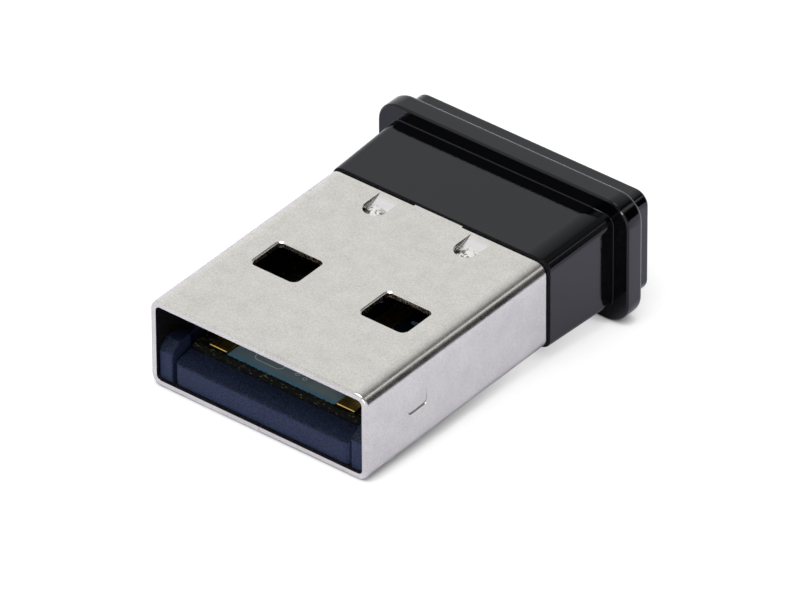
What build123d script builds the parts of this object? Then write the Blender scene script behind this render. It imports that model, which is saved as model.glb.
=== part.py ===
from build123d import *
import math
import os

# USB Bluetooth adapter. The mouth of the plug faces -Y, the head ends at +Y and Z is up.
# The origin is the bottom centre of the whole adapter, at the height of the flange's underside.
# All lengths are in millimetres and all angles in degrees.

# Plug shell, one stamped and folded sheet
plug_width = 12.0
plug_height = 4.5
plug_length = 12.42
sheet = 0.3
bend_radius = 0.55
mouth_round = 0.12
stop_tab_width = 2.65

# Butt seam of the fold, on the underside, locked by dovetail keys
seam_gap = 0.02
seam_keys = 2
seam_key_pitch = 5.2
key_neck = 1.0
key_head = 1.5
key_depth = 0.9

# Spring windows, two on top and two underneath
window_width = 2.5
window_length = 2.05
window_front_corner = 0.3
window_rear_corner = 0.25
window_rim = 0.07
window_spacing = 6.02
window_setback = 5.74

# Lanced dimples that lock the head's spigot, near the shell's rear edge
dimple_width = 1.18
dimple_length = 1.64
dimple_spacing = 5.06
dimple_root = 0.1
dimple_drop = 0.42

# Lanced side tabs that hold the board tray down
side_tab_width = 1.25
side_tab_height = 0.75
side_tab_corner = 0.2
side_tab_setback = 3.48
side_tab_base = 1.7
side_tab_angle = 3.0
side_tab_slit = 0.06
side_tab_side_gap = 0.02

# Head: neck, flange and end boss, one moulding
shell_gap = 0.1
neck_length = 4.45
neck_lip_x = 0.04
neck_lip_z = 0.07
neck_flare = 0.13
neck_corner = 0.5
neck_front_round = 0.2
flange_overhang_x = 0.815
flange_overhang_z = 0.74
flange_thickness = 1.04
flange_corner = 1.2
flange_edge = 0.08
boss_inset = 0.55
boss_depth = 1.16
boss_corner = 0.68
boss_round = 0.15
plug_rise = 0.06

# Head: spigot inside the shell and cavity for the board
spigot_margin = 0.43
spigot_fit = 0.02
spigot_board_fit = 0.05
spigot_foot = 0.8
spigot_channel_height = 0.95
pocket_fit = 0.1
cavity_side_fit = 0.1
cavity_corner = 0.3
cavity_top_wall = 0.49
cavity_underside = 0.05
cavity_front_wall = 0.7
end_wall = 0.8
ledge_width = 1.0

# Board tray, a moulding on the shell's floor
tray_fit = 0.02
nose_setback = 0.17
nose_slot = 0.11
nose_lip = 1.13
nose_top = 1.36
nose_gap = 0.03
nose_corner = 0.3
nose_round = 0.1
post_width = 0.72
post_length = 1.3
post_lip = 1.49
post_top = 1.92
post_slope_length = 0.56
post_round = 0.08
rail_top = 1.6
tail_length = 1.78
nib_height = 0.3
nib_length = 0.8
nib_setback = 0.8
nib_fit = 0.05
recess_depth = 0.4
recess_margin = 0.1
well_margin = 0.3
well_corner = 0.4
well_clearance = 0.12

# Circuit board
board_side_gap = 0.4
board_thickness = 0.8
board_setback = 1.28
board_shoulder = 0.62
board_shoulder_length = 3.0
board_bevel = 0.12
board_fit = 0.05
board_end_gap = 0.1

# Contacts on the board's top face
contact_width = 1.0
contact_thickness = 0.08
outer_contact_spacing = 7.06
inner_contact_spacing = 2.0
outer_contact_setback = 1.58
inner_contact_setback = 2.6
contact_end = 9.0

# Radio in a flat leadless package, under the board
radio_size = 5.0
radio_height = 0.75
radio_inset = 2.62
radio_lead_count = 11
radio_lead_pitch = 0.4
radio_lead_width = 0.2
radio_lead_length = 0.4
radio_lead_height = 0.2
radio_lead_proud = 0.02
radio_mark = 0.5
radio_mark_depth = 0.04

# Clock crystal on the board's top face, inside the head
crystal_width = 2.5
crystal_length = 2.0
crystal_base = 0.3
crystal_lid = 0.3
crystal_lid_inset = 0.14
crystal_corner = 0.2
crystal_offset = -1.1

# Small two-terminal parts, in a column on each side of the radio and in two rows inside the head
side_row_gap = 0.5
side_row_pitch = 1.15
head_row_setback = 1.38
head_row_pitch = 1.0
head_row_x = 1.5
chip_length = 1.0
chip_width = 0.5
capacitor_height = 0.5
resistor_height = 0.35
inductor_height = 0.45
bead_length = 1.6
bead_width = 0.8
bead_height = 0.8
terminal_share = 0.25
terminal_proud = 0.02

# Printed antenna at the rear end of the board
antenna_line = 0.4
antenna_copper = 0.04
antenna_end_margin = 0.42
antenna_side_margin = 0.7
antenna_fold_length = 1.55
antenna_leg = 2.15
antenna_folds = 4

# Stations along Y, from the mouth to the end face
total_length = plug_length + shell_gap + neck_length + flange_thickness + boss_depth
mouth_y = -total_length / 2
shell_rear_y = mouth_y + plug_length
neck_front_y = shell_rear_y + shell_gap
flange_front_y = neck_front_y + neck_length
flange_rear_y = flange_front_y + flange_thickness
end_y = flange_rear_y + boss_depth
cavity_end_y = end_y - end_wall
board_front_y = mouth_y + board_setback
board_end_y = cavity_end_y - board_end_gap
nose_front_y = mouth_y + nose_setback
tail_end_y = shell_rear_y + tail_length

# Widths and heights of the head and the plug's inside
neck_front_width = plug_width + 2 * neck_lip_x
neck_front_height = plug_height + 2 * neck_lip_z
neck_rear_width = neck_front_width + 2 * neck_flare
neck_rear_height = neck_front_height + 2 * neck_flare
flange_width = neck_rear_width + 2 * flange_overhang_x
flange_height = neck_rear_height + 2 * flange_overhang_z
inner_width = plug_width - 2 * sheet
inner_bend = bend_radius - sheet
board_width = inner_width - 2 * board_side_gap
tray_half = inner_width / 2 - tray_fit
tray_floor = radio_height + well_clearance
tail_width = board_width + 2 * board_fit
cavity_width = tail_width + 2 * cavity_side_fit

# Heights, from the flange's underside
head_mid_z = flange_height / 2
plug_mid_z = head_mid_z + plug_rise
plug_bottom_z = plug_mid_z - plug_height / 2
plug_top_z = plug_mid_z + plug_height / 2
shell_floor_z = plug_bottom_z + sheet
shell_ceiling_z = plug_top_z - sheet
board_bottom_z = shell_floor_z + tray_floor
board_top_z = board_bottom_z + board_thickness
cavity_floor_z = shell_floor_z - cavity_underside
cavity_top_z = head_mid_z + neck_front_height / 2 - cavity_top_wall
spigot_floor_z = board_top_z + spigot_board_fit

# Shared places
window_y = mouth_y + window_setback
window_centres = [(side * window_spacing / 2, window_y) for side in (-1, 1)]
dimple_root_y = shell_rear_y - dimple_root
dimple_x = dimple_spacing / 2
dimple_angle = math.degrees(math.atan(dimple_drop / dimple_length))
radio_y = shell_rear_y - radio_inset
side_row_x = radio_size / 2 + side_row_gap + chip_length / 2
nib_front_y = shell_rear_y + nib_setback

os.makedirs("parts", exist_ok=True)


def facing_mouth(y, z):
    """Plane across the adapter at y, seen from the mouth: its local axes are X and Z."""
    return Plane(origin=(0, y, z), x_dir=(1, 0, 0), z_dir=(0, -1, 0))


def from_above(z):
    """Level plane at height z."""
    return Plane.XY.offset(z)


def box_between(x_low, x_high, y_low, y_high, z_low, z_high, mode=Mode.ADD):
    """Block between two corners, added to or cut from the part being built."""
    with Locations(((x_low + x_high) / 2, (y_low + y_high) / 2, (z_low + z_high) / 2)):
        Box(x_high - x_low, y_high - y_low, z_high - z_low, mode=mode)


def dimple_outline(margin=0.0):
    """D-shaped outline with its root on local Y = 0 and its round tip at negative Y."""
    radius = dimple_width / 2 + margin
    straight = dimple_length - dimple_width / 2
    with Locations((0, -straight / 2)):
        Rectangle(2 * radius, straight + 2 * margin)
    with Locations((0, -straight)):
        Circle(radius)


# Plug shell
with BuildPart() as plug_shell:
    with BuildSketch(facing_mouth(mouth_y, plug_mid_z)):
        RectangleRounded(plug_width, plug_height, bend_radius)
        RectangleRounded(inner_width, plug_height - 2 * sheet, inner_bend, mode=Mode.SUBTRACT)
    extrude(amount=-plug_length)
    fillet(plug_shell.faces().sort_by(Axis.Y)[0].outer_wire().edges(), mouth_round)

    # Spring windows
    with BuildSketch(from_above(plug_bottom_z)) as windows:
        with Locations(*window_centres):
            Rectangle(window_width, window_length)
        fillet(windows.vertices().group_by(Axis.Y)[0], window_front_corner)
        fillet(windows.vertices().group_by(Axis.Y)[-1], window_rear_corner)
    extrude(amount=plug_height, mode=Mode.SUBTRACT)

    # Broken rims of the windows, on the outer side
    edge_levels = plug_shell.edges().group_by(Axis.Z)
    rims = [
        edge
        for edge in edge_levels[0] + edge_levels[-1]
        if abs(edge.center().X) < inner_width / 2 and abs(edge.center().Y - window_y) < window_length
    ]
    chamfer(rims, window_rim)

    # Stop tab in the middle of the rear edge, which meets the neck
    box_between(
        -stop_tab_width / 2, stop_tab_width / 2, shell_rear_y - sheet, neck_front_y,
        shell_ceiling_z, plug_top_z,
    )

    for side in (-1, 1):
        # Dimple: the lanced outline is opened, and its tongue slopes down towards the mouth
        with BuildSketch(Plane(origin=(side * dimple_x, dimple_root_y, shell_ceiling_z))):
            dimple_outline()
        extrude(amount=sheet, mode=Mode.SUBTRACT)
        slope = Plane(origin=(side * dimple_x, dimple_root_y, plug_top_z)).rotated((dimple_angle, 0, 0))
        with BuildSketch(slope):
            dimple_outline()
        extrude(amount=-sheet)

        # Side tab: slit on three sides, hinged at its top and pressed in a little
        hinge_z = shell_floor_z + side_tab_base + side_tab_height
        tab_y = mouth_y + side_tab_setback
        wall = Plane(
            origin=(side * plug_width / 2, tab_y, hinge_z), x_dir=(0, side, 0), z_dir=(side, 0, 0)
        )
        with BuildSketch(wall) as opening:
            Rectangle(
                side_tab_width + 2 * side_tab_side_gap, side_tab_height + side_tab_slit,
                align=(Align.CENTER, Align.MAX),
            )
            fillet(opening.vertices().group_by(Axis.Y)[0], side_tab_corner)
        extrude(amount=-sheet, mode=Mode.SUBTRACT)
        lean = math.radians(side_tab_angle)
        bent = Plane(
            origin=wall.origin, x_dir=wall.x_dir, z_dir=(side * math.cos(lean), 0, -math.sin(lean))
        )
        with BuildSketch(bent) as tab:
            Rectangle(side_tab_width, side_tab_height, align=(Align.CENTER, Align.MAX))
            fillet(tab.vertices().group_by(Axis.Y)[0], side_tab_corner)
        extrude(amount=-sheet)

    # Seam with its dovetail keys
    seam = [(0, mouth_y - sheet)]
    for index in range(seam_keys):
        key_y = window_y + (index + 0.5 - seam_keys / 2) * seam_key_pitch
        seam += [
            (0, key_y - key_neck / 2),
            (key_depth, key_y - key_head / 2),
            (key_depth, key_y + key_head / 2),
            (0, key_y + key_neck / 2),
        ]
    seam.append((0, shell_rear_y + sheet))
    with BuildSketch(from_above(plug_bottom_z)):
        with BuildLine():
            Polyline(*seam)
        trace(line_width=seam_gap)
    extrude(amount=sheet, mode=Mode.SUBTRACT)
plug_shell.part.label = "plug_shell"
export_step(plug_shell.part, "parts/plug_shell.step")


# Board tray
post_inner_x = tray_half - post_width
post_end_y = nose_front_y + post_length
rail_inner_x = board_width / 2 + board_fit
nose_width = 2 * (post_inner_x - nose_slot)
well_width = 2 * side_row_x + chip_length + 2 * well_margin
with BuildPart() as board_tray:
    # Bed between the shell's walls, with its lower edges rounded to the fold
    with BuildSketch(facing_mouth(post_end_y, shell_floor_z)) as bed:
        Rectangle(2 * tray_half, rail_top, align=(Align.CENTER, Align.MIN))
        fillet(bed.vertices().group_by(Axis.Y)[0], inner_bend - tray_fit)
    extrude(amount=-(shell_rear_y - post_end_y))
    box_between(
        -rail_inner_x, rail_inner_x, post_end_y, shell_rear_y, board_bottom_z,
        shell_floor_z + rail_top, mode=Mode.SUBTRACT,
    )

    # Posts beside the walls, standing free of the nose
    for side in (-1, 1):
        with BuildSketch(facing_mouth(nose_front_y, shell_floor_z)) as post:
            with Locations((side * (post_inner_x + post_width / 2), 0)):
                Rectangle(post_width, post_top, align=(Align.CENTER, Align.MIN))
            outer_foot = post.vertices().group_by(Axis.Y)[0].sort_by(Axis.X)[0 if side < 0 else -1]
            fillet(outer_foot, inner_bend - tray_fit)
        extrude(amount=-post_length)
    with BuildSketch(Plane.YZ.offset(-tray_half)):
        with BuildLine():
            Polyline(
                (nose_front_y, shell_floor_z + post_lip),
                (nose_front_y + post_slope_length, shell_floor_z + post_top),
                (nose_front_y, shell_floor_z + post_top),
                close=True,
            )
        make_face()
    extrude(amount=2 * tray_half, mode=Mode.SUBTRACT)
    post_fronts = board_tray.faces().group_by(Axis.Y)[0]
    fillet([edge for face in post_fronts for edge in face.edges()], post_round)

    # Nose with its sloped top, in front of the board's edge
    lip_y = board_front_y - nose_gap
    with BuildSketch(Plane.YZ.offset(-nose_width / 2)):
        with BuildLine():
            Polyline(
                (nose_front_y, shell_floor_z),
                (nose_front_y, shell_floor_z + nose_lip),
                (lip_y, shell_floor_z + nose_top),
                (lip_y, board_bottom_z),
                (post_end_y, board_bottom_z),
                (post_end_y, shell_floor_z),
                close=True,
            )
        make_face()
    extrude(amount=nose_width)
    front_uprights = board_tray.edges().filter_by(Axis.Z).group_by(Axis.Y)[0]
    fillet([edge for edge in front_uprights if abs(edge.center().X) < post_inner_x], nose_corner)
    front_faces = board_tray.faces().filter_by(Axis.Y).group_by(Axis.Y)[0]
    nose_face = [face for face in front_faces if abs(face.center().X) < post_inner_x][0]
    fillet(nose_face.edges().group_by(Axis.Z)[0] + nose_face.edges().group_by(Axis.Z)[-1], nose_round)

    # Tail under the board, which clips into the head with a nib on each side
    box_between(
        -tail_width / 2, tail_width / 2, shell_rear_y, tail_end_y, shell_floor_z, board_bottom_z,
    )
    for side in (-1, 1):
        with BuildSketch(from_above(shell_floor_z)):
            with BuildLine():
                Polyline(
                    (side * tail_width / 2, nib_front_y),
                    (side * (tail_width / 2 + nib_height), nib_front_y),
                    (side * tail_width / 2, nib_front_y + nib_length),
                    close=True,
                )
            make_face()
        extrude(amount=tray_floor)

    # Well for the parts under the board, and recesses behind the lower spring windows
    with BuildSketch(from_above(shell_floor_z)):
        with Locations((0, radio_y)):
            RectangleRounded(well_width, radio_size + 2 * well_margin, well_corner)
    extrude(amount=tray_floor, mode=Mode.SUBTRACT)
    with BuildSketch(from_above(shell_floor_z)):
        with Locations(*window_centres):
            RectangleRounded(
                window_width + 2 * recess_margin, window_length + 2 * recess_margin,
                window_front_corner,
            )
    extrude(amount=recess_depth, mode=Mode.SUBTRACT)
board_tray.part.label = "board_tray"
export_step(board_tray.part, "parts/board_tray.step")


# Circuit board
with BuildPart() as circuit_board:
    # Narrower between the tray's posts
    with BuildSketch(from_above(board_bottom_z)):
        with Locations((0, (board_front_y + board_end_y) / 2)):
            Rectangle(board_width, board_end_y - board_front_y)
        shoulder_x = (board_width - board_shoulder) / 2
        shoulder_y = board_front_y + board_shoulder_length / 2
        with Locations((-shoulder_x, shoulder_y), (shoulder_x, shoulder_y)):
            Rectangle(board_shoulder, board_shoulder_length, mode=Mode.SUBTRACT)
    extrude(amount=board_thickness)
    front_face = circuit_board.faces().sort_by(Axis.Y)[0]
    chamfer(front_face.edges().sort_by(Axis.Z)[-1], board_bevel)
circuit_board.part.label = "circuit_board"
export_step(circuit_board.part, "parts/circuit_board.step")


# Contacts
contacts = {
    "outer_contact_left": (-outer_contact_spacing / 2, outer_contact_setback),
    "inner_contact_left": (-inner_contact_spacing / 2, inner_contact_setback),
    "inner_contact_right": (inner_contact_spacing / 2, inner_contact_setback),
    "outer_contact_right": (outer_contact_spacing / 2, outer_contact_setback),
}
for label, (contact_x, setback) in contacts.items():
    with BuildPart() as contact:
        box_between(
            contact_x - contact_width / 2, contact_x + contact_width / 2,
            mouth_y + setback, mouth_y + contact_end, board_top_z, board_top_z + contact_thickness,
        )
    contact.part.label = label
    export_step(contact.part, f"parts/{label}.step")


# Radio
with BuildPart() as radio_chip:
    with BuildSketch(from_above(board_bottom_z)):
        with Locations((0, radio_y)):
            Rectangle(radio_size, radio_size)
    extrude(amount=-radio_height)
    lead_centre = radio_size / 2 + radio_lead_proud - radio_lead_length / 2
    with BuildSketch(from_above(board_bottom_z)):
        with Locations((0, radio_y)):
            for side in (-1, 1):
                with Locations((side * lead_centre, 0)):
                    with GridLocations(0, radio_lead_pitch, 1, radio_lead_count):
                        Rectangle(radio_lead_length, radio_lead_width)
                with Locations((0, side * lead_centre)):
                    with GridLocations(radio_lead_pitch, 0, radio_lead_count, 1):
                        Rectangle(radio_lead_width, radio_lead_length)
    extrude(amount=-radio_lead_height)
    # First-lead mark in a corner of the lid
    with BuildSketch(from_above(board_bottom_z - radio_height)):
        with Locations((-radio_size / 2 + radio_mark, radio_y + radio_size / 2 - radio_mark)):
            Circle(radio_mark / 2)
    extrude(amount=radio_mark_depth, mode=Mode.SUBTRACT)
radio_chip.part.label = "radio_chip"
export_step(radio_chip.part, "parts/radio_chip.step")


# Crystal
with BuildPart() as crystal:
    crystal_centre = (crystal_offset, neck_front_y + head_row_setback + head_row_pitch / 2)
    with BuildSketch(from_above(board_top_z)):
        with Locations(crystal_centre):
            RectangleRounded(crystal_width, crystal_length, crystal_corner)
    extrude(amount=crystal_base)
    with BuildSketch(from_above(board_top_z + crystal_base)):
        with Locations(crystal_centre):
            RectangleRounded(
                crystal_width - 2 * crystal_lid_inset, crystal_length - 2 * crystal_lid_inset,
                crystal_corner,
            )
    extrude(amount=crystal_lid)
crystal.part.label = "crystal"
export_step(crystal.part, "parts/crystal.step")


# Two-terminal parts: name, then centre, length, width, height and board face
under = -1
above = 1
side_rows = [radio_y + step * side_row_pitch for step in (-1, 0, 1)]
head_rows = [neck_front_y + head_row_setback + step * head_row_pitch for step in (0, 1)]
small_parts = {
    "capacitor_1": (-side_row_x, side_rows[0], chip_length, chip_width, capacitor_height, under),
    "resistor_1": (-side_row_x, side_rows[1], chip_length, chip_width, resistor_height, under),
    "capacitor_2": (-side_row_x, side_rows[2], chip_length, chip_width, capacitor_height, under),
    "capacitor_3": (side_row_x, side_rows[0], chip_length, chip_width, capacitor_height, under),
    "resistor_2": (side_row_x, side_rows[1], chip_length, chip_width, resistor_height, under),
    "capacitor_4": (side_row_x, side_rows[2], chip_length, chip_width, capacitor_height, under),
    "capacitor_5": (-side_row_x, head_rows[0], chip_length, chip_width, capacitor_height, above),
    "capacitor_6": (-side_row_x, head_rows[1], chip_length, chip_width, capacitor_height, above),
    "resistor_3": (head_row_x, head_rows[0], chip_length, chip_width, resistor_height, above),
    "ferrite_bead": (side_row_x, head_rows[0], bead_length, bead_width, bead_height, above),
    "antenna_inductor": (side_row_x, head_rows[1], chip_length, chip_width, inductor_height, above),
}
for label, (part_x, part_y, length, width, height, face) in small_parts.items():
    seat = from_above(board_top_z if face == above else board_bottom_z)
    with BuildPart() as small_part:
        with BuildSketch(seat):
            with Locations((part_x, part_y)):
                Rectangle(length, width - 2 * terminal_proud)
        extrude(amount=face * (height - terminal_proud))
        terminal = length * terminal_share
        with BuildSketch(seat):
            with Locations((part_x, part_y)):
                with GridLocations(length - terminal, 0, 2, 1):
                    Rectangle(terminal, width)
        extrude(amount=face * height)
    small_part.part.label = label
    export_step(small_part.part, f"parts/{label}.step")


# Antenna: an inverted F whose arm is folded back and forth
with BuildPart() as antenna_trace:
    far_y = board_end_y - antenna_end_margin
    near_y = far_y - antenna_fold_length
    root_y = far_y - antenna_leg
    ground_x = board_width / 2 - antenna_side_margin
    antenna_pitch = 2 * ground_x / (2 * antenna_folds + 1)
    feed_x = ground_x - antenna_pitch
    arm = [(ground_x, root_y), (ground_x, far_y)]
    fold_x = feed_x - antenna_pitch
    for index in range(antenna_folds):
        arm += [
            (fold_x, far_y), (fold_x, near_y), (fold_x - antenna_pitch, near_y),
            (fold_x - antenna_pitch, far_y),
        ]
        fold_x -= 2 * antenna_pitch
    with BuildSketch(from_above(board_top_z)):
        with BuildLine():
            Polyline(*arm)
        trace(line_width=antenna_line)
        with BuildLine():
            Line((feed_x, root_y), (feed_x, far_y))
        trace(line_width=antenna_line)
    extrude(amount=antenna_copper)
antenna_trace.part.label = "antenna_trace"
export_step(antenna_trace.part, "parts/antenna_trace.step")


# Head housing
with BuildPart() as head_housing:
    # Neck, which widens towards the flange
    with BuildSketch(facing_mouth(neck_front_y, head_mid_z)):
        RectangleRounded(neck_front_width, neck_front_height, neck_corner)
    with BuildSketch(facing_mouth(flange_front_y, head_mid_z)):
        RectangleRounded(neck_rear_width, neck_rear_height, neck_corner)
    loft()
    fillet(head_housing.faces().sort_by(Axis.Y)[0].edges(), neck_front_round)

    # Flange and end boss
    with BuildSketch(facing_mouth(flange_front_y, head_mid_z)):
        RectangleRounded(flange_width, flange_height, flange_corner)
    extrude(amount=-flange_thickness)
    with BuildSketch(facing_mouth(flange_rear_y, head_mid_z)):
        RectangleRounded(flange_width - 2 * boss_inset, flange_height - 2 * boss_inset, boss_corner)
    extrude(amount=-boss_depth)
    cross_faces = head_housing.faces().filter_by(Axis.Y).group_by(Axis.Y)
    fillet(cross_faces[-1][0].edges(), boss_round)
    flange_rims = [cross_faces[1][0].outer_wire(), cross_faces[-2][0].outer_wire()]
    chamfer([edge for rim in flange_rims for edge in rim.edges()], flange_edge)

    # Spigot inside the shell's rear end, locked by its dimples, with a foot over each board edge
    spigot_reach = shell_gap + dimple_root + dimple_length + pocket_fit + spigot_margin
    spigot_front_y = neck_front_y - spigot_reach
    cavity_front_y = neck_front_y + cavity_front_wall
    spigot_top_z = shell_ceiling_z - spigot_fit
    with BuildSketch(facing_mouth(spigot_front_y, spigot_floor_z)) as spigot:
        Rectangle(
            inner_width - 2 * spigot_fit, spigot_top_z - spigot_floor_z, align=(Align.CENTER, Align.MIN)
        )
        fillet(spigot.vertices().group_by(Axis.Y)[-1], inner_bend - spigot_fit)
    extrude(amount=-spigot_reach)
    for side in (-1, 1):
        pocket_z = shell_ceiling_z - dimple_drop - pocket_fit
        with BuildSketch(Plane(origin=(side * dimple_x, dimple_root_y, pocket_z))):
            dimple_outline(pocket_fit)
        extrude(amount=plug_top_z - pocket_z, mode=Mode.SUBTRACT)

    # Cavity: a way in for the tray's tail, the board and its parts, and headroom behind it
    box_between(
        spigot_foot - board_width / 2, board_width / 2 - spigot_foot, spigot_front_y, cavity_front_y,
        board_top_z, board_top_z + spigot_channel_height, mode=Mode.SUBTRACT,
    )
    box_between(
        -cavity_width / 2, cavity_width / 2, neck_front_y, cavity_end_y, cavity_floor_z,
        spigot_floor_z, mode=Mode.SUBTRACT,
    )
    with BuildSketch(facing_mouth(cavity_front_y, board_top_z)) as headroom:
        Rectangle(cavity_width, cavity_top_z - board_top_z, align=(Align.CENTER, Align.MIN))
        fillet(headroom.vertices().group_by(Axis.Y)[-1], cavity_corner)
    extrude(amount=-(cavity_end_y - cavity_front_y), mode=Mode.SUBTRACT)
    for side in (-1, 1):
        wall_x = side * cavity_width / 2
        pocket_x = side * (tail_width / 2 + nib_height + nib_fit)
        box_between(
            min(wall_x, pocket_x), max(wall_x, pocket_x), nib_front_y - nib_fit,
            nib_front_y + nib_length + nib_fit, cavity_floor_z, board_bottom_z + nib_fit,
            mode=Mode.SUBTRACT,
        )
        # Ledge under the board's edge, behind the tray's tail
        ledge_x = side * (cavity_width / 2 - ledge_width)
        box_between(
            min(wall_x, ledge_x), max(wall_x, ledge_x), tail_end_y + board_end_gap, cavity_end_y,
            cavity_floor_z, board_bottom_z - tray_fit,
        )
head_housing.part.label = "head_housing"
export_step(head_housing.part, "parts/head_housing.step")
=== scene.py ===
"""Dresses and lights a small USB adapter with a satin metal plug and a glossy black head.

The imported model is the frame. Each sub-assembly is a class that makes its pieces and dresses them,
each finish is a small class, and the studio holds the floor and the surroundings that light the adapter.
All lengths are in metres, and angles are in degrees unless a name says otherwise.
"""

import logging
import math
from collections.abc import Callable
from dataclasses import dataclass, field
from enum import Enum

import bpy
from mathutils import Matrix, Vector


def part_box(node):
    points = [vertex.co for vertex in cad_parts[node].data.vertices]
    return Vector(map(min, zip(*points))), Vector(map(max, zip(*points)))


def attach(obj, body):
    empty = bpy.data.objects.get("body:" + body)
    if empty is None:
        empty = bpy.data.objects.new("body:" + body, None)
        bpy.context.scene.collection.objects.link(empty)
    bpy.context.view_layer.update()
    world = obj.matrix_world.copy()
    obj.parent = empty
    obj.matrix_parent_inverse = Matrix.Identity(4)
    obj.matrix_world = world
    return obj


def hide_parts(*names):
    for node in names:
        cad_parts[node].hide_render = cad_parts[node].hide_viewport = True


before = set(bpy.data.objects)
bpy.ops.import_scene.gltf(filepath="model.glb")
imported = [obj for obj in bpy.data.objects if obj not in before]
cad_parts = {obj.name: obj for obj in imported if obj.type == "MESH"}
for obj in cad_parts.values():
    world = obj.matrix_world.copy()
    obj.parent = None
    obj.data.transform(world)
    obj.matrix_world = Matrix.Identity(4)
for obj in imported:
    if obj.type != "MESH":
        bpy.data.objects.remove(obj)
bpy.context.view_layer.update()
MM = 0.001
SHARP_ANGLE = math.radians(35)
FLAT_ANGLE = math.radians(0.4)
MERGE_DISTANCE = 0.0005 * MM
SOFTENING_STEPS = 3
LOG = logging.getLogger("adapter")

Colour = tuple[float, float, float]
Range = tuple[float, float]
Socket = bpy.types.NodeSocket
Source = Socket | float | Colour


class ChipKind(Enum):
    """The kinds of two-terminal parts on the board, by the start of their nodes' names."""

    CAPACITOR = "capacitor"
    RESISTOR = "resistor"
    INDUCTOR = "antenna_inductor"
    BEAD = "ferrite_bead"


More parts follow.
